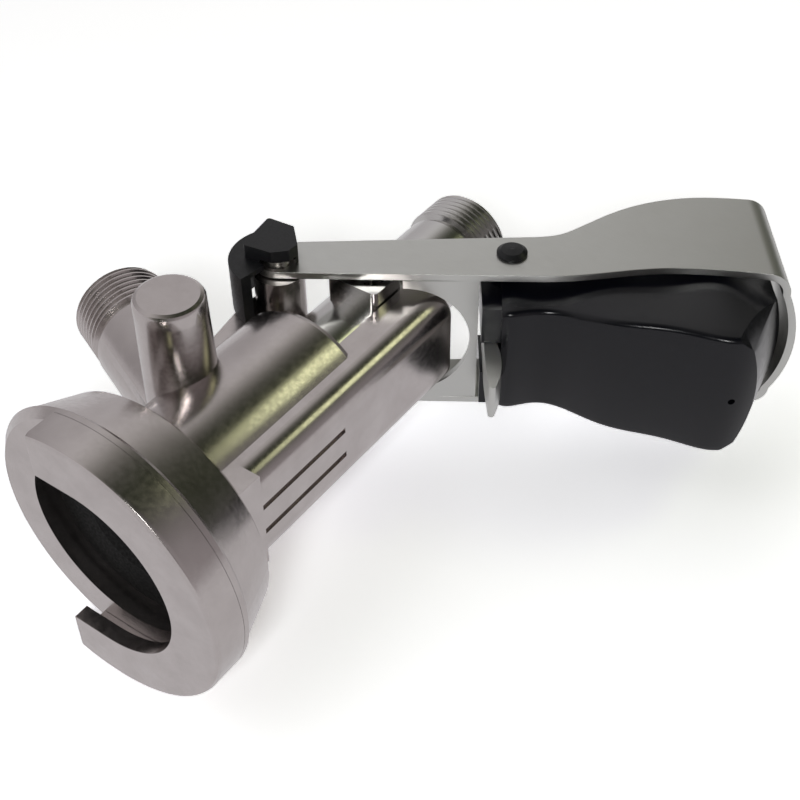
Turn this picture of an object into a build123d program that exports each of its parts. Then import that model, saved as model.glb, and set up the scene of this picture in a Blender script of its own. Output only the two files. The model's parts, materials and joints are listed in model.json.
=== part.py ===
"""Keg coupler for sliding (flat-head) keg fittings, in use position: keg side down, beer outlet up.

Frame: +Z along the probe axis, origin at the centre of the keg-side face, +X towards the lever,
Y along the hinge pin. Millimetres. The lever is drawn raised, as when the coupler is off the keg.
"""
from build123d import *
from math import asin, cos, radians, sin
import os

# ---------------------------------------------------------------- clearances
RUN = 0.05              # radial running clearance of a shaft in its bore
SEAT = 0.02             # gap between pieces of one body that sit face to face
FREE = 0.3              # gap between pieces that move past each other

# ---------------------------------------------------------------- keg flange
FLANGE_R = 37.8
LIP_T = 4.0             # horseshoe plate that slides under the keg fitting's head
POCKET_H = 4.6          # height of the pocket above the plate
POCKET_R = 31.0
SLOT_R = 24.3           # half width of the open slot in the plate
ARM_END_X = -10.5       # where the plate's two arms stop
TIER_TOP_Z = 11.0
TIER_STEP = 1.0         # the cone starts this much inside the band
CONE_SET_IN = 6.4       # and ends this much inside it
CONE_TOP_Z = 24.8
PLATE_EDGE = 1.2
LEDGE_SET_IN = 2.8      # bare ceiling edge on the open side

# ---------------------------------------------------------------- barrel, bores and guide
BARREL_R = 20.5
BARREL_FOOT_Z = 29.0
BARREL_TOP_Z = 79.0
BARREL_EDGE = 2.0
SEAL_R = 25.4
SEAL_SEAT_Z = 19.0
SEAL_T = 4.0
BACKING_T = 0.9
CHAMBER_R = 16.0
CHAMBER_TOP_Z = 58.0
TUBE_R = 12.2
RING_W = 2.6            # width of the O-ring grooves in the bore
RING_DEPTH = 2.0
RING_Z = (63.0, 72.0)
GUIDE_X = (9.5, 22.5)
GUIDE_HALF = 14.5
GUIDE_Z = (34.0, 112.0)
GUIDE_EDGE = 6.0
GUIDE_END_EDGE = 1.5
RAIL_TOP_Z = 65.0
RAIL_PITCH = 8.0
RAIL_W = 1.6
RAIL_DEPTH = 1.3

# ---------------------------------------------------------------- pipe threads (drawn at the crest)
THREAD_R = 13.22        # G 3/4
THREAD_LEAD = 1.3       # chamfer on the first crest

# ---------------------------------------------------------------- gas inlet and blanked relief port
GAS_Z = 46.5            # where the inlet's axis crosses the probe axis
GAS_RISE = 22.9         # degrees above horizontal
GAS_END = 65.0          # from the probe axis
GAS_THREAD_L = 14.5
GAS_NECK_R = 13.5
GAS_NECK_WAIST = 12.0
GAS_WAIST_L = 1.6
GAS_BORE_R = 7.4
GAS_VALVE_R = 9.6
GAS_VALVE_DEPTH = 15.0
GAS_VALVE_FLANGE_T = 2.4
GAS_VALVE_BILL_L = 9.0
GAS_VALVE_BILL_W = 11.0
GAS_VALVE_WALL = 1.4
GAS_VALVE_TIP_T = 2.2
GAS_VALVE_SLIT = 0.5
PORT_X = -14.1
PORT_Z = 48.6
PORT_TOP = 40.0         # distance of the flat top from the middle plane
PORT_R = 8.65
PORT_DRAFT = 0.9
PORT_ROUND = 1.3

# ---------------------------------------------------------------- hinge
HINGE_X = -17.2
HINGE_Z = 90.0
HINGE_BOSS_R = 6.7
PIN_R = 3.0
WEB_HALF = 9.5
WEB_BACK_X = -24.5
CAP_TOP = 5.6           # thickness of the hinge cap over the arm
CAP_SHELL_T = 3.2
CAP_SHELL_R = 9.5       # inner radius of the cap's curved skirt
CAP_ROOF_T = 1.5
CLIP_T = 1.0
CLIP_R = 4.6

# ---------------------------------------------------------------- lever: u along it, v towards its back
REST_ANGLE = 35.0
BOW_T = 2.0
BOW_HALF = 22.0         # outer face of each arm from the middle plane
BOW_END_U = 131.0
BOW_BULGE = 3.6
BOW_CORNER = 6.0
ARM_FRONT = -4.3
ARM_BACK = 8.7
FORK_U = 68.0
FORK_FRONT = -6.1
FORK_BACK = 10.6
GRIP_BACK = 28.4
GRIP_BACK_U = 111.0
END_FRONT = -8.2
END_BACK = 26.2
DRIVE_U = 21.0
DRIVE_R = 3.0
DRIVE_L = 5.0
YOKE_START = 32.0
YOKE_END = 51.6
YOKE_T = 2.0
YOKE_CUT_R = 17.6
GRIP_PIN_U = 60.2
GRIP_PIN_V = 3.4
GRIP_PIN_R = 2.5
GRIP_HEAD_R = 4.0
GRIP_HEAD_T = 1.5

# ---------------------------------------------------------------- probe
TIP_Z = 17.5
TIP_R = 9.8
TIP_L = 7.5
TIP_SEAL_T = 1.7
WAIST_R = 8.6
MAIN_Z = 48.0
BEER_R = 4.8
BALL_SEAT_Z = 126.0
BALL_BORE_R = 8.6
BALL_R = 7.1
OUTLET_Z = 154.0
OUTLET_THREAD_L = 13.0
CAGE_T = 2.0
CAGE_Z = 142.0
EAR_GAP = 1.0           # between a drive ear and the lever's arm
EAR_X = (-6.6, 9.1)
EAR_H = 12.0

# ---------------------------------------------------------------- grip
GRIP_GAP = 1.2          # between the grip and the lever's arm
# along the lever: u, ridges set in from the arm, v of the ridges, v of the back
GRIP_STATIONS = ((57.2, 3.9, -13.5, 6.5), (65.0, 3.9, -13.2, 7.0), (72.0, 3.7, -13.7, 7.6),
                 (81.0, 2.5, -18.0, 8.4), (91.0, 1.4, -21.4, 9.4), (103.0, 0.9, -24.8, 10.6),
                 (117.0, 0.9, -27.6, 11.6), (134.0, 0.9, -28.8, 12.2))
GRIP_CROWN = 1.2
GRIP_RIDGE = 1.6
GRIP_BACK_EDGE = 4.0
GRIP_END_U = 130.0
GRIP_BULGE = 2.6
GRIP_CORNER = 4.0
GRIP_BEVEL_U = 120.0    # where the bevelled end meets the front, at v = GRIP_BEVEL_V
GRIP_BEVEL_V = -28.5
GRIP_LEAN = 0.48
GRIP_HUB_R = 5.9
GRIP_HOLE_R = 0.9
GRIP_HOLE_U = 114.5
GRIP_HOLE_TOP = -27.0
PAWL_HALF = 5.0
PAWL_TOP = -3.0
PAWL_START = 52.9
PAWL_END = 57.2
PAWL_TIP_U = 54.4
PAWL_TIP_V = -29.5
SPRING_R = 4.0
SPRING_WIRE_R = 0.55
SPRING_TURNS = 4
SPRING_PITCH = 1.5
HUB_R = 6.2
HUB_HALF = 4.4

GAS_FRAME = Location((0, 0, GAS_Z), (0, GAS_RISE - 90, 0))
LEVER_FRAME = Location((HINGE_X, 0, HINGE_Z), (0, -REST_ANGLE, 0))
CEILING_Z = LIP_T + POCKET_H
DRIVE_Z = HINGE_Z + DRIVE_U * sin(radians(REST_ANGLE))
ARM_INNER = BOW_HALF - BOW_T
EAR_HALF = ARM_INNER - EAR_GAP
GRIP_HALF = ARM_INNER - GRIP_GAP
BIG = 200.0


def turned(points):
    """Solid of revolution about Z from (radius, height) points."""
    return revolve(make_face(Plane.XZ * Polyline(*points, close=True)), Axis.Z)


def tube(radius, low, high, at=(0, 0)):
    return Pos(at[0], at[1], low) * extrude(Circle(radius), high - low)


def across(radius, half, at=(0, 0)):
    """Cylinder along Y, centred on the middle plane, at (x, z)."""
    return Pos(at[0], half, at[1]) * Rot(90, 0, 0) * extrude(Circle(radius), 2 * half)


def slab(x, y, z):
    return Pos((x[0] + x[1]) / 2, (y[0] + y[1]) / 2, (z[0] + z[1]) / 2) * Box(
        x[1] - x[0], y[1] - y[0], z[1] - z[0])


def side_plate(outline, low_y, high_y):
    """Plate between two Y values from a face drawn in the XZ plane."""
    return Pos(0, high_y, 0) * extrude(outline, high_y - low_y, dir=(0, -1, 0))


# ---------------------------------------------------------------- body casting
def flange_and_barrel():
    cone_r = FLANGE_R - TIER_STEP
    cone_top_r = FLANGE_R - CONE_SET_IN
    return turned([
        (0, 0), (FLANGE_R - PLATE_EDGE, 0), (FLANGE_R - PLATE_EDGE * 0.3, PLATE_EDGE * 0.3),
        (FLANGE_R, PLATE_EDGE),
        (FLANGE_R, TIER_TOP_Z - TIER_STEP), (cone_r, TIER_TOP_Z), (cone_top_r + 0.8, CONE_TOP_Z - 1.2),
        (cone_top_r - 0.8, CONE_TOP_Z), (BARREL_R + 3, CONE_TOP_Z + 1.4), (BARREL_R, BARREL_FOOT_Z),
        (BARREL_R, BARREL_TOP_Z - BARREL_EDGE), (BARREL_R - 0.6, BARREL_TOP_Z - 0.6),
        (BARREL_R - BARREL_EDGE, BARREL_TOP_Z), (0, BARREL_TOP_Z)])


def keg_slot():
    """Everything the sliding keg head passes through: slot, pocket and the open side."""
    slot = tube(SLOT_R, -1, LIP_T) + slab((-BIG, 0), (-SLOT_R, SLOT_R), (-1, LIP_T))
    pocket = tube(POCKET_R, LIP_T, CEILING_Z) + slab((-BIG, 0), (-POCKET_R, POCKET_R), (LIP_T, CEILING_Z))
    open_side = slab((-BIG, ARM_END_X), (-BIG, BIG), (-1, CEILING_Z))
    ledge_r = FLANGE_R - LEDGE_SET_IN
    ledge_h = LEDGE_SET_IN + 1
    ledge = turned([(ledge_r, CEILING_Z), (ledge_r + ledge_h, CEILING_Z),
                    (ledge_r + ledge_h, CEILING_Z + ledge_h)])
    return slot + pocket + open_side + (ledge & slab((-BIG, ARM_END_X), (-BIG, BIG), (0, BIG)))


def guide_block():
    """Saddle on the lever side that steadies the probe above the barrel, with rails below."""
    x0, x1 = GUIDE_X
    mid = (x0 + x1) / 2
    block = extrude(Pos(mid, 0) * Rectangle(x1 - x0, 2 * GUIDE_HALF), GUIDE_Z[1] - GUIDE_Z[0])
    block = Pos(0, 0, GUIDE_Z[0]) * block
    block = fillet(block.edges().filter_by(Axis.Z).group_by(Axis.X)[-1], GUIDE_EDGE)
    block = fillet(block.faces().sort_by(Axis.Z)[-1].edges(), GUIDE_END_EDGE)
    grooves = [slab((x1 - RAIL_DEPTH, x1 + 1), (k * RAIL_PITCH - RAIL_W / 2, k * RAIL_PITCH + RAIL_W / 2),
                    (GUIDE_Z[0] - 1, RAIL_TOP_Z)) for k in (-0.5, 0.5)]
    return block - grooves


def hinge_lug():
    web = side_plate(make_face(Plane.XZ * Polyline(
        (-BARREL_R / 2, BARREL_TOP_Z - 20), (-BARREL_R, BARREL_TOP_Z - 20), (WEB_BACK_X, HINGE_Z - 7),
        (HINGE_X - HINGE_BOSS_R + 0.4, HINGE_Z + 2), (HINGE_X, HINGE_Z), (-BARREL_R / 2, BARREL_TOP_Z),
        close=True)), -WEB_HALF, WEB_HALF)
    web -= GAS_FRAME * tube(GAS_NECK_R + SEAT, 0, GAS_END)
    return web + across(HINGE_BOSS_R, ARM_INNER - FREE - 0.1, (HINGE_X, HINGE_Z))


def gas_neck():
    start = GAS_END - GAS_THREAD_L
    neck = turned([(0, 0), (GAS_NECK_R, 0), (GAS_NECK_R, start - GAS_WAIST_L - 1),
                   (GAS_NECK_WAIST, start - GAS_WAIST_L), (GAS_NECK_WAIST, start), (THREAD_R, start + 0.8),
                   (THREAD_R, GAS_END - THREAD_LEAD), (THREAD_R - THREAD_LEAD, GAS_END), (0, GAS_END)])
    return GAS_FRAME * neck


def gas_passage():
    bore = tube(GAS_BORE_R, CHAMBER_R / 2, GAS_END + 1)
    valve_seat = tube(GAS_VALVE_R, GAS_END - GAS_VALVE_DEPTH, GAS_END + 1)
    return GAS_FRAME * (bore + valve_seat)


def relief_port():
    """Blanked boss for a relief valve, cast solid."""
    post = turned([(0, 0), (PORT_R + PORT_DRAFT, 0), (PORT_R, PORT_TOP - PORT_ROUND),
                   (PORT_R - PORT_ROUND * 0.35, PORT_TOP - PORT_ROUND * 0.35),
                   (PORT_R - PORT_ROUND, PORT_TOP), (0, PORT_TOP)])
    return Pos(PORT_X, 0, PORT_Z) * Rot(90, 0, 0) * post


def body_bores():
    bores = tube(SEAL_R, CEILING_Z - 1, SEAL_SEAT_Z) + tube(CHAMBER_R, SEAL_SEAT_Z - 1, CHAMBER_TOP_Z)
    bores += tube(TUBE_R + RUN, CHAMBER_TOP_Z - 1, GUIDE_Z[1] + 1)
    for z in RING_Z:
        bores += tube(TUBE_R + RUN + RING_DEPTH, z - RING_W / 2, z + RING_W / 2)
    return bores


def coupler_body():
    """The forging above the keg pocket: flange, barrel, guide and hinge lug."""
    solid = flange_and_barrel() + guide_block() + hinge_lug()
    solid -= keg_slot() + body_bores()
    solid -= gas_passage()
    solid -= slab((-BIG, BIG), (-BIG, BIG), (-BIG, CEILING_Z))
    return solid - across(PIN_R + SEAT, BOW_HALF, (HINGE_X, HINGE_Z))


def horseshoe_plate():
    """The slotted plate and the pocket wall above it, that slide over the keg fitting."""
    return (flange_and_barrel() - keg_slot()) & slab((-BIG, BIG), (-BIG, BIG), (-1, CEILING_Z - SEAT))


def gas_branch():
    """Side branch for the gas line, with the blanked relief port."""
    solid = gas_neck() + relief_port()
    solid -= gas_passage()
    return solid - tube(BARREL_R + SEAT, 0, BARREL_TOP_Z + 1)


# ---------------------------------------------------------------- fixed inner pieces
def keg_seal():
    top = SEAL_SEAT_Z - BACKING_T - 2 * SEAT
    low = top - SEAL_T
    hole = TIP_R + FREE + 0.5
    return turned([(hole, top), (hole, low + 1.4), (hole + 3, low), (SEAL_R - 5, low),
                   (SEAL_R - 4, low + 0.8), (SEAL_R - SEAT, low + 0.8), (SEAL_R - SEAT, top)])


def seal_backing_ring():
    high = SEAL_SEAT_Z - SEAT
    low = high - BACKING_T
    inner, outer = CHAMBER_R + 0.6, SEAL_R - SEAT
    return turned([(inner, low), (outer, low), (outer, high), (inner, high)])


def bore_ring(z):
    wire = RING_DEPTH / 2 - FREE / 2
    return Pos(0, 0, z) * Torus(TUBE_R + RUN + RING_DEPTH - wire - SEAT, wire)


def gas_check_valve():
    """Duckbill: a flanged rubber sleeve that narrows to a slit."""
    seat = GAS_END - GAS_VALVE_DEPTH + SEAT
    top = seat + GAS_VALVE_FLANGE_T
    tip = seat - GAS_VALVE_BILL_L
    flange = tube(GAS_VALVE_R - SEAT, seat, top)
    bill = loft([Plane.XY.offset(seat) * Circle(GAS_BORE_R - 0.6),
                 Plane.XY.offset(tip) * Rectangle(GAS_VALVE_TIP_T, GAS_VALVE_BILL_W)])
    bore = loft([Plane.XY.offset(top + 0.1) * Circle(GAS_BORE_R - 0.6 - GAS_VALVE_WALL),
                 Plane.XY.offset(tip - 0.1) * Rectangle(GAS_VALVE_SLIT, GAS_VALVE_BILL_W - 3)])
    return GAS_FRAME * (flange + bill - bore)


def gas_valve_retainer():
    low = GAS_END - GAS_VALVE_DEPTH + GAS_VALVE_FLANGE_T + 2 * SEAT
    ring = tube(GAS_VALVE_R - SEAT, low, low + 4) - tube(GAS_BORE_R - 1.2, low - 1, low + 5)
    notches = [Rot(0, 0, a) * slab((GAS_BORE_R - 2, GAS_BORE_R + 0.8), (-1.2, 1.2), (low + 2.2, low + 5))
               for a in (0, 90, 180, 270)]
    return GAS_FRAME * (ring - notches)


def hinge_pin():
    return across(PIN_R, BOW_HALF + 2 * CLIP_T, (HINGE_X, HINGE_Z))


def hinge_pin_clips():
    ring = across(CLIP_R, CLIP_T / 2, (0, 0)) - across(PIN_R + SEAT, CLIP_T, (0, 0))
    ring -= slab((0, CLIP_R + 1), (-CLIP_T, CLIP_T), (-PIN_R * 0.7, PIN_R * 0.7))
    y = BOW_HALF + FREE + CLIP_T / 2
    return [Pos(HINGE_X, side * y, HINGE_Z) * ring for side in (-1, 1)]


def hinge_cap(side):
    """Black moulded cover over one end of the hinge pin, with a curved skirt down to the casting."""
    low = WEB_HALF + SEAT
    floor = BOW_HALF + FREE
    sector = make_face(Polyline((0, 0), (-BIG, BIG), (-BIG, -BIG), (-BIG * 0.13, -BIG), close=True))
    disc = Circle(CAP_SHELL_R + CAP_SHELL_T) & sector
    block = fillet(make_face(Polyline((-9.0, 7.6), (-1.1, 8.4), (4.6, 2.8), (4.4, -0.6), (1.2, -3.8),
                                      (-7.0, -5.2), close=True)).vertices(), 0.8)
    solid = extrude(Plane.XY.offset(low) * (disc - Circle(CAP_SHELL_R)), floor - low + SEAT)
    solid += extrude(Plane.XY.offset(floor) * disc, CAP_ROOF_T)
    solid += extrude(Plane.XY.offset(floor) * block, CAP_TOP)
    solid -= tube(CLIP_R + FREE, floor - 1, floor + 1 + CLIP_T + FREE)
    solid -= tube(PIN_R + FREE, floor - 1, floor + 1 + 2 * CLIP_T)
    if side > 0:
        solid = mirror(solid, Plane.XY)
    return Pos(HINGE_X, 0, HINGE_Z) * (Rot(90, 0, 0) * solid)


# ---------------------------------------------------------------- probe
def probe_tube():
    low, start = TIP_Z, OUTLET_Z - OUTLET_THREAD_L
    outer = turned([(0, low), (TIP_R - 1, low), (TIP_R, low + 1), (TIP_R, low + TIP_L),
                    (WAIST_R, low + TIP_L + 2), (WAIST_R, MAIN_Z - 3),
                    (TUBE_R - 0.6, MAIN_Z), (TUBE_R, MAIN_Z + 0.6), (TUBE_R, start - 1.5),
                    (TUBE_R - 0.7, start - 0.8), (TUBE_R - 0.7, start), (THREAD_R, start + 0.9),
                    (THREAD_R, OUTLET_Z - THREAD_LEAD), (THREAD_R - THREAD_LEAD, OUTLET_Z), (0, OUTLET_Z)])
    inner = turned([(0, low - 1), (BEER_R, low - 1), (BEER_R, BALL_SEAT_Z),
                    (BALL_BORE_R, BALL_SEAT_Z + (BALL_BORE_R - BEER_R)), (BALL_BORE_R, OUTLET_Z + 1),
                    (0, OUTLET_Z + 1)])
    return outer - inner


def probe_tip_seal():
    low, high = TIP_Z - TIP_SEAL_T, TIP_Z - SEAT
    return turned([(BEER_R, low), (TIP_R - 2, low), (TIP_R - 1.4, high), (BEER_R, high)])


def drive_crosshead():
    """Two ears brazed to the tube, each with a level slot for one drive pin."""
    ears = slab(EAR_X, (-EAR_HALF, EAR_HALF), (DRIVE_Z - EAR_H / 2, DRIVE_Z + EAR_H / 2))
    ears = fillet(ears.edges().filter_by(Axis.Y), 1.5)
    ears -= slab((-BIG, BIG), (-TUBE_R * 0.8, TUBE_R * 0.8), (0, BIG))
    ears -= tube(TUBE_R + SEAT, 0, BIG)
    reach = DRIVE_U * (1 - cos(radians(REST_ANGLE)))
    half_h = DRIVE_R + FREE + 0.35
    half_l = reach / 2 + DRIVE_R + 0.6
    for side in (-1, 1):
        inner, outer = EAR_HALF - DRIVE_L + 0.4, EAR_HALF + 1
        y = (inner, outer) if side > 0 else (-outer, -inner)
        slot = slab((-half_l, half_l), y, (-half_h, half_h))
        slot = fillet(slot.edges().filter_by(Axis.Y), half_h - 0.05)
        ears -= Pos(reach / 2, 0, DRIVE_Z) * slot
    return ears


def ball_seat_height():
    """Height of the ball's centre when it rests on the 45 degree seat."""
    return BALL_SEAT_Z + BALL_R * 2 ** 0.5 - BEER_R


def beer_check_ball():
    return Pos(0, 0, ball_seat_height() + SEAT) * Sphere(BALL_R)


def ball_cage():
    top = CAGE_Z + CAGE_T
    ring = tube(BALL_BORE_R - SEAT, CAGE_Z, top) - tube(BALL_BORE_R - 1.8, CAGE_Z - 1, top + 1)
    bar = slab((0, BALL_BORE_R - 1), (-0.8, 0.8), (CAGE_Z, top))
    return ring + [Rot(0, 0, angle) * bar for angle in (0, 120, 240)]


# ---------------------------------------------------------------- lever
def arm_outline():
    """Side view of the bow: slim at the hinge, flared at the back round the grip."""
    mid = (ARM_FRONT + ARM_BACK) / 2
    past = BOW_END_U + BOW_BULGE + 1
    front = Spline((FORK_U, FORK_FRONT), (FORK_U + 30, FORK_FRONT + 3.2), (GRIP_BACK_U, FORK_FRONT + 2.6),
                   (past, END_FRONT), tangents=((1, 0), (1, -0.3)))
    back = Spline((past, END_BACK), (GRIP_BACK_U, GRIP_BACK), (GRIP_BACK_U - 22, GRIP_BACK - 6.4),
                  (FORK_U + 8, FORK_BACK + 2.6), (FORK_U - 4, FORK_BACK), tangents=((-1, 0.1), (-1, -0.02)))
    hinge_end = ThreePointArc((0, ARM_BACK), (-(ARM_BACK - ARM_FRONT) / 2, mid), (0, ARM_FRONT))
    lines = [Line((0, ARM_FRONT), (FORK_U, FORK_FRONT)), front,
             Line((past, END_FRONT), (past, END_BACK)), back,
             Line((FORK_U - 4, FORK_BACK), (0, ARM_BACK)), hinge_end]
    return make_face(Plane.XZ * Curve(children=[Edge(e.wrapped) for line in lines for e in line.edges()]))


def bow_plan(inset):
    """Top view of the bow's closed end, inset by the strap's thickness for the inner side."""
    half = BOW_HALF - inset
    end = BOW_END_U - inset
    corner = BOW_CORNER - inset
    start = -BIG if inset else -12.0
    tip = ThreePointArc((end, -half + corner), (end + BOW_BULGE, 0), (end, half - corner))
    nip = corner * 0.28
    low = ThreePointArc((end - corner, -half), (end - nip, -half + nip), (end, -half + corner))
    high = ThreePointArc((end, half - corner), (end - nip, half - nip), (end - corner, half))
    edges = [Line((start, -half), (end - corner, -half)), low, tip, high,
             Line((end - corner, half), (start, half)), Line((start, half), (start, -half))]
    return Pos(0, 0, -BIG / 2) * extrude(make_face(Wire([e for line in edges for e in line.edges()])), BIG)


def lever_bow():
    side = side_plate(arm_outline(), -BIG / 2, BIG / 2)
    bow = (bow_plan(0) - bow_plan(BOW_T)) & side
    bow -= across(PIN_R + RUN, BIG / 2)
    bow -= across(GRIP_PIN_R + SEAT, BIG / 2, (GRIP_PIN_U, GRIP_PIN_V))
    return LEVER_FRAME * bow


def yoke_plate():
    """Bridge between the arms, cut away round the probe."""
    half = ARM_INNER - SEAT
    slope = (FORK_FRONT - ARM_FRONT) / FORK_U
    front = ARM_FRONT + slope * YOKE_END + 0.2
    plate = slab((YOKE_START, YOKE_END), (-half, half), (front, front + YOKE_T))
    plate -= tube(YOKE_CUT_R, -BIG, BIG, (YOKE_START, 0))
    return LEVER_FRAME * plate


def drive_pins():
    pins = []
    for side in (-1, 1):
        y = side * (ARM_INNER - SEAT - DRIVE_L / 2)
        pins.append(LEVER_FRAME * Pos(DRIVE_U, y, 0) * Rot(90, 0, 0) * Cylinder(DRIVE_R, DRIVE_L))
    return pins


def grip_pin():
    pin = across(GRIP_PIN_R, BOW_HALF + SEAT)
    head = turned([(0, 0), (GRIP_HEAD_R, 0), (GRIP_HEAD_R, GRIP_HEAD_T * 0.45),
                   (GRIP_HEAD_R * 0.72, GRIP_HEAD_T),
                   (0, GRIP_HEAD_T * 1.15)])
    head = Pos(0, 0, BOW_HALF + SEAT) * head
    for turn in (90, -90):
        pin += Rot(turn, 0, 0) * head
    return LEVER_FRAME * Pos(GRIP_PIN_U, 0, GRIP_PIN_V) * pin


def grip_spring():
    height = SPRING_TURNS * SPRING_PITCH
    path = Helix(SPRING_PITCH, height, SPRING_R)
    section = Plane(origin=path @ 0, z_dir=path % 0) * Circle(SPRING_WIRE_R)
    coil = sweep(section, path)
    return LEVER_FRAME * Pos(GRIP_PIN_U, height / 2, GRIP_PIN_V) * Rot(90, 0, 0) * coil


# ---------------------------------------------------------------- grip
def grip_section(u, set_in, ridge_v, back_v):
    """Outline across the grip at u: steep sides up to two front ridges, and a slightly crowned front."""
    half = ARM_INNER - set_in
    back = GRIP_HALF - (0.6 if u > GRIP_PIN_U + 20 else 1.6)
    plane = Plane(origin=(u, 0, 0), x_dir=(0, 1, 0), z_dir=(1, 0, 0))
    front = ThreePointArc((-half, ridge_v), (0, ridge_v - GRIP_CROWN), (half, ridge_v))
    rest = Polyline((half, ridge_v), (back, -2), (back, back_v), (-back, back_v), (-back, -2),
                    (-half, ridge_v))
    face = make_face(Wire(front.edges() + rest.edges()))
    corners = face.vertices().sort_by(Axis.Y)
    face = fillet(corners[:2], GRIP_RIDGE)
    return plane * fillet(face.vertices().sort_by(Axis.Y)[-2:], GRIP_BACK_EDGE)


def end_prism(end, lean, half, corner):
    """Long prism whose end follows the bow's curved end, leaning by lean (u per v)."""
    tip = ThreePointArc((end - GRIP_BULGE, -half + corner), (end, 0), (end - GRIP_BULGE, half - corner))
    low = Line((end - GRIP_BULGE - corner * 1.2, -half), (end - GRIP_BULGE, -half + corner))
    high = Line((end - GRIP_BULGE, half - corner), (end - GRIP_BULGE - corner * 1.2, half))
    rest = Polyline((end - GRIP_BULGE - corner * 1.2, half), (-BIG, half), (-BIG, -half),
                    (end - GRIP_BULGE - corner * 1.2, -half))
    outline = make_face(Wire(tip.edges() + low.edges() + high.edges() + rest.edges()))
    return Pos(-lean * BIG, 0, -BIG) * extrude(outline, 2 * BIG, dir=(lean, 0, 1))


def squeeze_grip():
    """Moulded trigger that fills the bow and swells towards its free end."""
    body = loft([grip_section(*station) for station in GRIP_STATIONS])
    bevel_end = GRIP_BEVEL_U - GRIP_LEAN * GRIP_BEVEL_V
    body &= end_prism(bevel_end, GRIP_LEAN, GRIP_HALF + 1, GRIP_CORNER)
    body &= end_prism(GRIP_END_U, 0, GRIP_HALF + 1, GRIP_CORNER)
    body += across(GRIP_HUB_R, GRIP_HALF - 1.6, (GRIP_PIN_U, GRIP_PIN_V))
    body -= across(GRIP_PIN_R + RUN, BIG / 2, (GRIP_PIN_U, GRIP_PIN_V))
    body -= across(HUB_R, HUB_HALF, (GRIP_PIN_U, GRIP_PIN_V))
    body -= tube(GRIP_HOLE_R, -BIG, GRIP_HOLE_TOP, (GRIP_HOLE_U, 0))
    body -= slab((0, PAWL_END + SEAT), (-PAWL_HALF - SEAT, PAWL_HALF + SEAT), (-BIG, PAWL_TOP + SEAT))
    return LEVER_FRAME * body


def latch_pawl():
    """Steel tongue that hooks on the guide's rails when the lever is down."""
    u0, u1 = PAWL_START, PAWL_END
    tip_u, tip_v = PAWL_TIP_U, PAWL_TIP_V
    bulge = ThreePointArc((tip_u + 0.9, tip_v + 0.9), (u1 - 0.1, -20), (u1 - 2.2, -9))
    tip = ThreePointArc((tip_u - 0.9, tip_v + 0.7), (tip_u, tip_v), (tip_u + 0.9, tip_v + 0.9))
    nose = ThreePointArc((u0, -17), (u0 + 0.3, -24), (tip_u - 0.9, tip_v + 0.7))
    root = Polyline((u1 - 2.2, -9), (u1 - 2.2, -6), (u1, -4.8), (u1, PAWL_TOP), (u0, PAWL_TOP), (u0, -17))
    outline = make_face(Plane.XZ * Wire(bulge.edges() + tip.edges() + nose.edges() + root.edges()))
    return LEVER_FRAME * side_plate(outline, -PAWL_HALF, PAWL_HALF)


PARTS = {
    "coupler_body": coupler_body,
    "horseshoe_plate": horseshoe_plate,
    "gas_branch": gas_branch,
    "keg_seal": keg_seal,
    "seal_backing_ring": seal_backing_ring,
    "bore_o_ring_lower": lambda: bore_ring(RING_Z[0]),
    "bore_o_ring_upper": lambda: bore_ring(RING_Z[1]),
    "gas_check_valve": gas_check_valve,
    "gas_valve_retainer": gas_valve_retainer,
    "hinge_pin": hinge_pin,
    "hinge_pin_clips": hinge_pin_clips,
    "hinge_cap_left": lambda: hinge_cap(-1),
    "hinge_cap_right": lambda: hinge_cap(1),
    "probe_tube": probe_tube,
    "probe_tip_seal": probe_tip_seal,
    "drive_crosshead": drive_crosshead,
    "beer_check_ball": beer_check_ball,
    "ball_cage": ball_cage,
    "lever_bow": lever_bow,
    "yoke_plate": yoke_plate,
    "drive_pins": drive_pins,
    "grip_pin": grip_pin,
    "grip_spring": grip_spring,
    "squeeze_grip": squeeze_grip,
    "latch_pawl": latch_pawl,
}


def main():
    os.makedirs("parts", exist_ok=True)
    for name, build in PARTS.items():
        shape = build()
        if isinstance(shape, list):
            shape = Compound(children=shape)
        export_step(shape, f"parts/{name}.step")


main()
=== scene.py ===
"""Keg coupler, dressed: metals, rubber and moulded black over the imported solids, with both threads cut in."""
import json
import math

import bmesh
import bpy
from mathutils import Matrix, Vector

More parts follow.
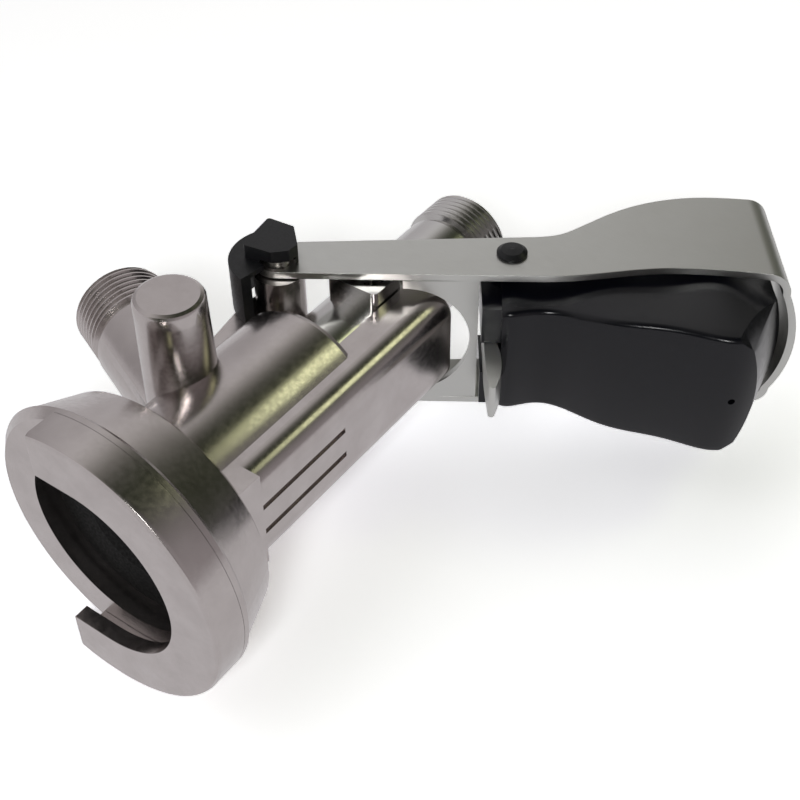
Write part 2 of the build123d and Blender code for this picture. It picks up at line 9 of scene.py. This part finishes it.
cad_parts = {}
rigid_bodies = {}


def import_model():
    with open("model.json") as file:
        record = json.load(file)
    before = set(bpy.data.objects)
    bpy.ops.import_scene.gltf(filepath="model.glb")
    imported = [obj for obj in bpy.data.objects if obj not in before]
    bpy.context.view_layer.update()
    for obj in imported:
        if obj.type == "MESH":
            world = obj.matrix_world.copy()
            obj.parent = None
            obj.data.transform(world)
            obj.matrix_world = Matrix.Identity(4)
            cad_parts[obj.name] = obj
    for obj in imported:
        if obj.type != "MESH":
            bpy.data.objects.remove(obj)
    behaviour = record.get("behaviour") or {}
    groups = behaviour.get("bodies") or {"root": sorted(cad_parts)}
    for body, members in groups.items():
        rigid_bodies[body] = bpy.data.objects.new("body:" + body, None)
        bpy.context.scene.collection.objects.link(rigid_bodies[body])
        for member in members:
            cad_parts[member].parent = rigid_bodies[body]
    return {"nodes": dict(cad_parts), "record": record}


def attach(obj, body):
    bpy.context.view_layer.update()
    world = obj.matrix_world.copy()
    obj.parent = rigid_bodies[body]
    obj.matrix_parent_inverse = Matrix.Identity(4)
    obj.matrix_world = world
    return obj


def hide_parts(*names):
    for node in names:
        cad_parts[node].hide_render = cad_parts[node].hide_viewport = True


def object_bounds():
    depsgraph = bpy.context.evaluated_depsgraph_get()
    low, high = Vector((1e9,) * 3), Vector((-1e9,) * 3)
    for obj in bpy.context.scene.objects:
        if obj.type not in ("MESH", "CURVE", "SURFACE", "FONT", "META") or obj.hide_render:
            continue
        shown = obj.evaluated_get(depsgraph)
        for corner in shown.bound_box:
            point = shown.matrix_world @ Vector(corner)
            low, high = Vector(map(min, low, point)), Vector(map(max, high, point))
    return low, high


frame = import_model()
nodes = frame["nodes"]
record = frame["record"]
cad_box = [list(corner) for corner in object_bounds()]
MM = 0.001
WELD = 0.002        # mm: corners of a copied solid that lie closer than this are one
EDGE_REACH = 0.5    # mm: an edge this close to a side of its block lies on that side


# ------------------------------------------------------------------ small helpers
def linear(colour):
    """sRGB hex, such as "8a8a88", to the linear RGBA that a shader takes."""
    parts = [int(colour[i:i + 2], 16) / 255 for i in (0, 2, 4)]
    return [c / 12.92 if c <= 0.04045 else ((c + 0.055) / 1.055) ** 2.4 for c in parts] + [1.0]


def add_node(tree, kind, links=(), **settings):
    """Adds a node. Settings are its properties or its inputs' values: an input goes by its name, or by its
    number, as i1, where names repeat (i6 and i7 are the two colours of a Mix). Links are (output, input)."""
    node = tree.nodes.new(kind)
    for name, value in settings.items():
        if hasattr(node, name):
            setattr(node, name, value)
        elif name[0] == "i" and name[1:].isdigit():
            node.inputs[int(name[1:])].default_value = value
        else:
            node.inputs[name].default_value = value
    for source, target in links:
        tree.links.new(source, node.inputs[target])
    return node


def new_material(name):
    material = bpy.data.materials.new(name)
    material.use_nodes = True
    tree = material.node_tree
    return material, tree, tree.nodes["Principled BSDF"]


def deselect():
    for thing in bpy.context.scene.objects:
        thing.select_set(False)


def only(piece):
    """Makes the piece the one that operators act on."""
    deselect()
    piece.select_set(True)
    bpy.context.view_layer.objects.active = piece


def apply_all(piece):
    """Writes the piece's modifiers into its mesh."""
    only(piece)
    for modifier in list(piece.modifiers):
        bpy.ops.object.modifier_apply(modifier=modifier.name)


def settle(piece):
    """Writes the piece's place into its mesh."""
    only(piece)
    bpy.ops.object.transform_apply(location=True, rotation=True, scale=True)


def standing(centre, direction):
    """The place of something made upright at the origin, moved to the centre and turned to the direction."""
    turn = Vector((0, 0, 1)).rotation_difference(direction).to_matrix().to_4x4()
    return Matrix.Translation(centre) @ turn


def smooth(piece, degrees):
    """Shades faces as one surface where they meet at less than this angle."""
    only(piece)
    bpy.ops.object.shade_smooth_by_angle(angle=math.radians(degrees))


def combine(piece, other, operation):
    """Joins the other solid to the piece (UNION) or takes it away (DIFFERENCE), and removes it."""
    modifier = piece.modifiers.new("combine", "BOOLEAN")
    modifier.operation = operation
    modifier.solver = "EXACT"
    modifier.object = other
    apply_all(piece)
    bpy.data.objects.remove(other)


def merged_copy(node, name):
    """The node's own shape as one welded mesh, free to be cut."""
    piece = bpy.data.objects.new(name, nodes[node].data.copy())
    bpy.context.scene.collection.objects.link(piece)
    piece.data.materials.clear()
    only(piece)
    bpy.ops.object.mode_set(mode="EDIT")
    bpy.ops.mesh.select_all(action="SELECT")
    bpy.ops.mesh.remove_doubles(threshold=WELD * MM)
    bpy.ops.object.mode_set(mode="OBJECT")
    bpy.ops.mesh.customdata_custom_splitnormals_clear()
    return piece


def take_the_place_of(node, piece, body, material):
    """The piece is shown for the node, on the given body and with the given material; the node is hidden."""
    piece.data.materials.append(material)
    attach(piece, body)
    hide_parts(node)


# ------------------------------------------------------------------ metals
NOISE_LOW, NOISE_HIGH = 0.3, 0.7    # nearly all of a noise pattern's values lie between these


def rough_surface(tree, shader, place, rough, grain_mm, depth_mm, stretch=(1, 1, 1)):
    """Gives the shader a bump whose grain is a real size, and a roughness that follows the same grain."""
    mapping = add_node(tree, "ShaderNodeMapping", [(place, "Vector")], Scale=stretch)
    grain = add_node(tree, "ShaderNodeTexNoise", [(mapping.outputs[0], "Vector")],
                     Scale=1 / (grain_mm * MM), Detail=1.5, Roughness=0.5)
    bump = add_node(tree, "ShaderNodeBump", [(grain.outputs["Fac"], "Height")],
                    Strength=1.0, Distance=depth_mm * MM)
    spread = add_node(tree, "ShaderNodeMapRange", [(grain.outputs["Fac"], "Value")],
                      i1=NOISE_LOW, i2=NOISE_HIGH, i3=rough[0], i4=rough[1])
    tree.links.new(spread.outputs[0], shader.inputs["Roughness"])
    tree.links.new(bump.outputs[0], shader.inputs["Normal"])


def metal(name, colour, dark, rough, grain_mm, depth_mm, stretch=(1, 1, 1), cloud_mm=18.0):
    """A plated or steel surface: its colour drifts in slow clouds, its roughness with a finer grain."""
    material, tree, shader = new_material(name)
    place = add_node(tree, "ShaderNodeTexCoord").outputs["Object"]
    clouds = add_node(tree, "ShaderNodeTexNoise", [(place, "Vector")], Scale=1 / (cloud_mm * MM), Detail=3.0)
    tint = add_node(tree, "ShaderNodeMix", [(clouds.outputs["Fac"], "Factor")], data_type="RGBA",
                    i6=linear(dark), i7=linear(colour))
    tree.links.new(tint.outputs[2], shader.inputs["Base Color"])
    rough_surface(tree, shader, place, rough, grain_mm, depth_mm, stretch)
    shader.inputs["Metallic"].default_value = 1.0
    return material


def nickel_plate():
    """Forged brass, satin nickel plated: soft reflections, a warm cast, a hint of the forging's skin."""
    return metal("nickel_plated_forging", "c6c0be", "aba4a2", rough=(0.19, 0.27),
                 grain_mm=1.2, depth_mm=0.0014, cloud_mm=9.0)


def polished_steel():
    """Turned stainless tube, polished: sharp reflections with fine turning rings across its axis."""
    return metal("polished_stainless_tube", "c9c8c6", "bcbab8", rough=(0.16, 0.22),
                 grain_mm=0.8, depth_mm=0.0008, stretch=(1, 1, 6))


def satin_strap():
    """Stainless strip, belt ground along its length: broad soft highlights. The grinding lines are drawn
    coarser than real ones, so that they show."""
    return metal("belt_ground_strip", "cacbc8", "c2c2be", rough=(0.32, 0.40),
                 grain_mm=0.5, depth_mm=0.0008, stretch=(0.12, 3, 1))


def turned_pin():
    """Turned and tumbled steel, for pins and clips: a dull even grey."""
    return metal("tumbled_pin_steel", "b0aeaa", "96938f", rough=(0.25, 0.4), grain_mm=0.6, depth_mm=0.006)


# ------------------------------------------------------------------ black parts and rubber
def moulding(name, colour, roughness, grain_mm, depth_mm):
    """A moulded plastic or rubber of one colour, whose roughness varies a little with its tool's grain."""
    material, tree, shader = new_material(name)
    place = add_node(tree, "ShaderNodeTexCoord").outputs["Object"]
    rough_surface(tree, shader, place, (roughness * 0.85, roughness * 1.2), grain_mm, depth_mm)
    shader.inputs["Base Color"].default_value = linear(colour)
    shader.inputs["IOR"].default_value = 1.5
    shader.inputs["Specular IOR Level"].default_value = 0.35
    return material


def gloss_black():
    """Glass-filled nylon, injection moulded in a polished tool: deep black with clear highlights."""
    return moulding("polished_black_nylon", "090a12", roughness=0.20, grain_mm=1.6, depth_mm=0.0012)


def matt_black():
    """The same nylon from a sparked tool, for the pin covers: a fine dull grain, drawn coarser than the real
    one so that it shows."""
    return moulding("spark_grained_black_nylon", "121316", roughness=0.40, grain_mm=0.5, depth_mm=0.004)


def seal_rubber():
    """Black nitrile, compression moulded: dull, with hardly a highlight."""
    return moulding("nitrile_seal", "040404", roughness=0.8, grain_mm=0.7, depth_mm=0.002)


def pale_rubber():
    """Silicone, compression moulded, for the duckbill: pale and waxy."""
    return moulding("silicone_valve", "b9b4aa", roughness=0.5, grain_mm=0.8, depth_mm=0.01)


def white_moulding():
    """Acetal, injection moulded, for the ball and the valve's ring: creamy white with a soft shine."""
    return moulding("acetal_white", "dedbd2", roughness=0.35, grain_mm=1.0, depth_mm=0.01)


# ------------------------------------------------------------------ pipe threads
PITCH = 1.814 * MM          # 14 threads to the inch
THREAD_DEPTH = 1.16 * MM
CUTTER_MOUTH = 0.92         # width of the cutter's wide side, as a share of the pitch
CUTTER_PROUD = 0.25         # how far that side stands outside the crest, as a share of the depth
RUN_OUT = 2.0               # mm: the cutter is this much longer than the mount
THREAD_STEPS = 48           # facets in one turn
THREAD_SMOOTH = 28          # degrees


def thread_cutter(name, centre, axis, crest, length):
    """Helical V ridge, wide side out, that a boolean takes out of a plain cylinder."""
    turns = math.ceil(length / PITCH) + 1
    deselect()
    bpy.ops.mesh.primitive_circle_add(vertices=3, radius=THREAD_DEPTH)
    ridge = bpy.context.object
    ridge.name = name
    half = PITCH * CUTTER_MOUTH / 2
    low, root, high = ridge.data.vertices
    out = crest + THREAD_DEPTH * CUTTER_PROUD
    start = -turns * PITCH / 2
    low.co = (out, 0, start - half)
    high.co = (out, 0, start + half)
    root.co = (crest - THREAD_DEPTH, 0, start)
    screw = ridge.modifiers.new("screw", "SCREW")
    screw.axis = "Z"
    screw.angle = 2 * math.pi
    screw.screw_offset = PITCH
    screw.iterations = turns
    screw.steps = THREAD_STEPS
    screw.render_steps = THREAD_STEPS
    screw.use_smooth_shade = False
    apply_all(ridge)
    bpy.ops.object.mode_set(mode="EDIT")
    bpy.ops.mesh.select_all(action="DESELECT")
    bpy.ops.mesh.select_mode(type="EDGE")
    bpy.ops.mesh.select_non_manifold()
    bpy.ops.mesh.fill()
    bpy.ops.mesh.select_all(action="SELECT")
    bpy.ops.mesh.normals_make_consistent(inside=False)
    bpy.ops.object.mode_set(mode="OBJECT")
    ridge.matrix_world = standing(centre, axis)
    settle(ridge)
    return ridge


def threaded(node, name, mount, body, material):
    """A copy of the node with the mount's cylinder cut as a pipe thread."""
    piece = merged_copy(node, name)
    spec = next(m for m in record["mounts"] if m["name"] == mount)
    length = (spec["dims"]["length_mm"] + RUN_OUT) * MM
    cutter = thread_cutter(name + "_cutter", Vector(spec["pos_m"]), Vector(spec["axis"]),
                           spec["dims"]["r_mm"] * MM, length)
    combine(piece, cutter, "DIFFERENCE")
    smooth(piece, THREAD_SMOOTH)
    take_the_place_of(node, piece, body, material)


# ------------------------------------------------------------------ forms that the solids leave out
FOOT_LOW, FOOT_HIGH = (9.5, -14.5, 25.2), (22.5, 14.5, 34.0)    # mm: the foot's corners
FOOT_EDGE = 6.0             # mm: rounding of its two upright outer edges
FOOT_HOLLOW = 18.2          # mm: radius of its inner face, inside the barrel's wall
HOLLOW_LENGTH = 40          # mm: the cutter that hollows it is longer than the foot
HOLLOW_MIDDLE = 30          # mm: height of that cutter's middle
FOOT_SMOOTH = 35            # degrees

LEVER_RAISED = 35           # degrees above level, as the lever is drawn
# mm, as the lever lies: along its arm from the hinge, out to each side, and square to both
CHEEK_ALONG, CHEEK_OUT, CHEEK_UP = (52.15, 58.4), (5.1, 16.0), (-12.2, 3.0)
CHEEK_EDGE = 2.4            # mm
GRIP_SMOOTH = 32            # degrees

SOFT_FROM = 42              # degrees: an edge sharper than this is broken
SOFT_SMOOTH = 50            # degrees


def block(name, low, high, edges, bevel_mm):
    """Box between two corners (mm), with the edges rounded whose middle the test picks."""
    size = [b - a for a, b in zip(low, high)]
    middle = [(a + b) / 2 * MM for a, b in zip(low, high)]
    deselect()
    bpy.ops.mesh.primitive_cube_add(size=1, location=middle)
    piece = bpy.context.object
    piece.name = name
    piece.scale = [length * MM for length in size]
    settle(piece)
    bpy.ops.object.mode_set(mode="EDIT")
    mesh = bmesh.from_edit_mesh(piece.data)
    for edge in mesh.edges:
        edge.select_set(edges((edge.verts[0].co + edge.verts[1].co) / 2 / MM))
    bmesh.update_edit_mesh(piece.data)
    bpy.ops.mesh.bevel(offset=bevel_mm * MM, segments=8, affect="EDGES")
    bpy.ops.object.mode_set(mode="OBJECT")
    return piece


def guide_foot(material):
    """Lower end of the probe guide, run down into the flange's shoulder."""
    def outer_upright(at):
        return at.x > FOOT_HIGH[0] - EDGE_REACH and abs(at.y) > FOOT_HIGH[1] - EDGE_REACH

    piece = block("guide_foot", FOOT_LOW, FOOT_HIGH, outer_upright, FOOT_EDGE)
    deselect()
    bpy.ops.mesh.primitive_cylinder_add(vertices=96, radius=FOOT_HOLLOW * MM, depth=HOLLOW_LENGTH * MM,
                                        location=(0, 0, HOLLOW_MIDDLE * MM))
    combine(piece, bpy.context.object, "DIFFERENCE")
    smooth(piece, FOOT_SMOOTH)
    piece.data.materials.append(material)
    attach(piece, "body")


def grip_with_cheeks(material):
    """The grip with its hinge end carried on past the latch, to one cheek on each side of it."""
    def near_edge(at):
        below = at.z < CHEEK_UP[0] + EDGE_REACH
        outside = abs(at.y) > CHEEK_OUT[1] - EDGE_REACH
        return at.x < CHEEK_ALONG[0] + EDGE_REACH and (below or outside)

    piece = merged_copy("squeeze_grip", "grip_with_cheeks")
    hinge = next(j for j in record["behaviour"]["joints"] if j["name"] == "lever_hinge")
    as_raised = Matrix.Translation(hinge["pos_m"]) @ Matrix.Rotation(math.radians(-LEVER_RAISED), 4, "Y")
    for side in (-1, 1):
        out = sorted(side * wide for wide in CHEEK_OUT)
        low, high = zip(CHEEK_ALONG, out, CHEEK_UP)
        cheek = block("cheek", low, high, near_edge, CHEEK_EDGE)
        cheek.matrix_world = as_raised
        settle(cheek)
        combine(piece, cheek, "UNION")
    smooth(piece, GRIP_SMOOTH)
    take_the_place_of("squeeze_grip", piece, "grip", material)


def softened(node, body, material, width_mm):
    """A copy of the node with its sharp edges broken, as deburring and plating leave them."""
    piece = merged_copy(node, node + "_soft_edged")
    soft = piece.modifiers.new("edges", "BEVEL")
    soft.width = width_mm * MM
    soft.segments = 2
    soft.limit_method = "ANGLE"
    soft.angle_limit = math.radians(SOFT_FROM)
    soft.miter_outer = "MITER_ARC"
    apply_all(piece)
    smooth(piece, SOFT_SMOOTH)
    level = piece.modifiers.new("flat_faces", "WEIGHTED_NORMAL")
    level.weight = 100
    level.keep_sharp = True
    apply_all(piece)
    take_the_place_of(node, piece, body, material)


# ------------------------------------------------------------------ stage
SHEET_LIGHT = "e2e2e2"              # the sheet's colour in the light that it throws on the object
SHEET_SEEN = (2.32, 2.35, 2.42, 1)  # and to the camera: past white, so that only its shadows show
SHEET_MIRRORED = "f4f2f5"           # and in what glows from it into metal
GLOW_SEEN = 0.05                    # share of even glow in the sheet, to the camera
GLOW_MIRRORED = 0.7                 # the same in reflections
SHEET_SIZE = 6.0                    # m
SHEET_GAP = 0.2                     # mm between a sheet and the coupler
TABLE_MIDDLE = 0.08                 # m: height of the upright table's middle

# the room's tone from the -X side to the +X side: a pale wall, then dim olive curtains, then a grey wall
ROOM = ((0.0, "a8a4a6"), (0.22, "e4e2e4"), (0.32, "e0dedd"), (0.42, "8c8a84"),
        (0.54, "2c3222"), (0.76, "33382a"), (0.9, "a49ea0"), (1.0, "b8b2b4"))

LAMPS_AIM = (0.02, 0, 0.07)         # m: near the middle of the coupler

# the camera's place (m), its right hand and its line of sight
EYE = (0.16741, -0.22849, -0.11315)
EYE_RIGHT = (0.8155, 0.0083, 0.5786)
EYE_FORWARD = (-0.4270, 0.6835, 0.5920)
LENS, SENSOR = 59.63, 36.0          # mm


def floor_material(name, camera_only=False):
    """White sheet: past white to the camera but for its soft shadows, milder in the light and the reflections
    that it gives the object, and clear from behind. With camera_only it gives the object neither."""
    material = bpy.data.materials.new(name)
    material.use_nodes = True
    tree = material.node_tree
    tree.nodes.remove(tree.nodes["Principled BSDF"])
    path = add_node(tree, "ShaderNodeLightPath")
    seen, mirrored = path.outputs["Is Camera Ray"], path.outputs["Is Glossy Ray"]
    paper = add_node(tree, "ShaderNodeMix", [(seen, "Factor")], data_type="RGBA",
                     i6=linear(SHEET_LIGHT), i7=SHEET_SEEN)
    matt = add_node(tree, "ShaderNodeBsdfDiffuse", [(paper.outputs[2], "Color")])
    tone = add_node(tree, "ShaderNodeMix", [(mirrored, "Factor")], data_type="RGBA",
                    i6=linear("ffffff"), i7=linear(SHEET_MIRRORED))
    glow = add_node(tree, "ShaderNodeEmission", [(tone.outputs[2], "Color")])
    share = add_node(tree, "ShaderNodeMath", [(mirrored, 0)], operation="MULTIPLY", i1=GLOW_MIRRORED)
    share = add_node(tree, "ShaderNodeMath", [(seen, 0), (share.outputs[0], 2)],
                     operation="MULTIPLY_ADD", i1=GLOW_SEEN)
    sheet = add_node(tree, "ShaderNodeMixShader",
                     [(share.outputs[0], 0), (matt.outputs[0], 1), (glow.outputs[0], 2)])
    clear = add_node(tree, "ShaderNodeBsdfTransparent")
    hidden = add_node(tree, "ShaderNodeNewGeometry").outputs["Backfacing"]
    if camera_only:
        unseen = add_node(tree, "ShaderNodeMath", [(seen, 0)], operation="LESS_THAN", i1=0.5)
        either = add_node(tree, "ShaderNodeMath", [(hidden, 0), (unseen.outputs[0], 1)], operation="MAXIMUM")
        hidden = either.outputs[0]
    mix = add_node(tree, "ShaderNodeMixShader", [(hidden, 0), (sheet.outputs[0], 1), (clear.outputs[0], 2)])
    tree.links.new(mix.outputs[0], tree.nodes["Material Output"].inputs["Surface"])
    return material


def sheet_of_floor(name, centre, facing, material):
    """A flat square of stage, and no piece of the coupler."""
    deselect()
    bpy.ops.mesh.primitive_plane_add(size=SHEET_SIZE)
    sheet = bpy.context.object
    sheet.name = name
    sheet.matrix_world = standing(centre, facing)
    settle(sheet)
    sheet.data.materials.append(material)


def soft_lamp(name, place, size, watts, colour="ffffff"):
    """A rectangular lamp (m) that faces the coupler."""
    data = bpy.data.lights.new(name, "AREA")
    data.shape = "RECTANGLE"
    data.size, data.size_y = size
    data.energy = watts
    data.color = linear(colour)[:3]
    lamp = bpy.data.objects.new(name, data)
    bpy.context.scene.collection.objects.link(lamp)
    lamp.location = place
    lamp.rotation_euler = (Vector(LAMPS_AIM) - Vector(place)).to_track_quat("-Z", "Y").to_euler()


def room():
    """Dim walls that the metal mirrors, with plain white behind them for the camera."""
    world = bpy.data.worlds.new("studio")
    bpy.context.scene.world = world
    world.use_nodes = True
    tree = world.node_tree
    toward = add_node(tree, "ShaderNodeTexCoord").outputs["Generated"]
    across = add_node(tree, "ShaderNodeSeparateXYZ", [(toward, 0)]).outputs["X"]
    place = add_node(tree, "ShaderNodeMapRange", [(across, "Value")], i1=-1.0, i2=1.0, i3=0.0, i4=1.0)
    walls = add_node(tree, "ShaderNodeValToRGB", [(place.outputs[0], 0)])
    ramp = walls.color_ramp
    ramp.interpolation = "B_SPLINE"
    while len(ramp.elements) < len(ROOM):
        ramp.elements.new(0.5)
    for element, (at, colour) in zip(ramp.elements, ROOM):
        element.position = at
        element.color = linear(colour)
    mirrored = tree.nodes["Background"]
    tree.links.new(walls.outputs[0], mirrored.inputs["Color"])
    path = add_node(tree, "ShaderNodeLightPath")
    white = add_node(tree, "ShaderNodeBackground", Color=(1, 1, 1, 1), Strength=1.0)
    mix = add_node(tree, "ShaderNodeMixShader",
                   [(path.outputs["Is Camera Ray"], 0), (mirrored.outputs[0], 1), (white.outputs[0], 2)])
    tree.links.new(mix.outputs[0], tree.nodes["World Output"].inputs["Surface"])


def studio():
    """The coupler lies on its +Y side on a white table; lamps stand round it as it lies."""
    low, high = (Vector(c) for c in cad_box)
    sheet_of_floor("table_it_lies_on", Vector((0, high.y + SHEET_GAP * MM, TABLE_MIDDLE)), Vector((0, -1, 0)),
                   floor_material("white_table"))
    sheet_of_floor("shelf_it_stands_on", Vector((0, 0, low.z - SHEET_GAP * MM)), Vector((0, 0, 1)),
                   floor_material("white_shelf", camera_only=True))
    room()
    soft_lamp("window", place=(0.41, -0.62, 0.60), size=(0.24, 0.20), watts=0.42, colour="dde3b4")
    soft_lamp("front_lamp", place=(0.38, -0.56, -0.54), size=(0.2, 0.2), watts=2.2)


def camera():
    """Looks at the coupler's open keg side, from a little to the lever side."""
    data = bpy.data.cameras.new("camera")
    eye = bpy.data.objects.new("camera", data)
    bpy.context.scene.collection.objects.link(eye)
    right = Vector(EYE_RIGHT).normalized()
    forward = Vector(EYE_FORWARD).normalized()
    up = right.cross(forward).normalized()
    right = forward.cross(up).normalized()
    turn = Matrix((right, up, -forward)).transposed().to_4x4()
    eye.matrix_world = Matrix.Translation(Vector(EYE)) @ turn
    data.lens = LENS
    data.sensor_width = SENSOR
    data.clip_start = 0.01
    data.clip_end = 20.0
    bpy.context.scene.camera = eye


# ------------------------------------------------------------------ finish every node
def dress():
    """Gives each node its finish, and shows a better copy in place of those that have more to show."""
    nickel, steel, strap, pin = nickel_plate(), polished_steel(), satin_strap(), turned_pin()
    black, cover, rubber = gloss_black(), matt_black(), seal_rubber()
    duckbill, white = pale_rubber(), white_moulding()
    finishes = {
        "coupler_body": nickel, "keg_seal": rubber, "seal_backing_ring": pin,
        "bore_o_ring_lower": rubber, "bore_o_ring_upper": rubber,
        "gas_check_valve": duckbill, "gas_valve_retainer": white,
        "hinge_pin": pin, "hinge_pin_clips": pin,
        "probe_tip_seal": rubber, "drive_crosshead": steel, "beer_check_ball": white, "ball_cage": pin,
        "yoke_plate": strap, "drive_pins": pin, "grip_pin": cover, "grip_spring": pin, "latch_pawl": strap,
    }
    for node, material in finishes.items():
        for slot in nodes[node].material_slots:
            slot.material = material
    softened("horseshoe_plate", "body", nickel, 0.5)
    softened("hinge_cap_left", "body", cover, 0.4)
    softened("hinge_cap_right", "body", cover, 0.4)
    softened("lever_bow", "lever", strap, 0.45)
    guide_foot(nickel)
    grip_with_cheeks(black)
    threaded("gas_branch", "branch_with_thread", "gas_inlet", "body", nickel)
    threaded("probe_tube", "tube_with_thread", "beer_outlet", "probe", steel)


deselect()
dress()
studio()
camera()
bpy.context.scene.view_settings.view_transform = "Standard"
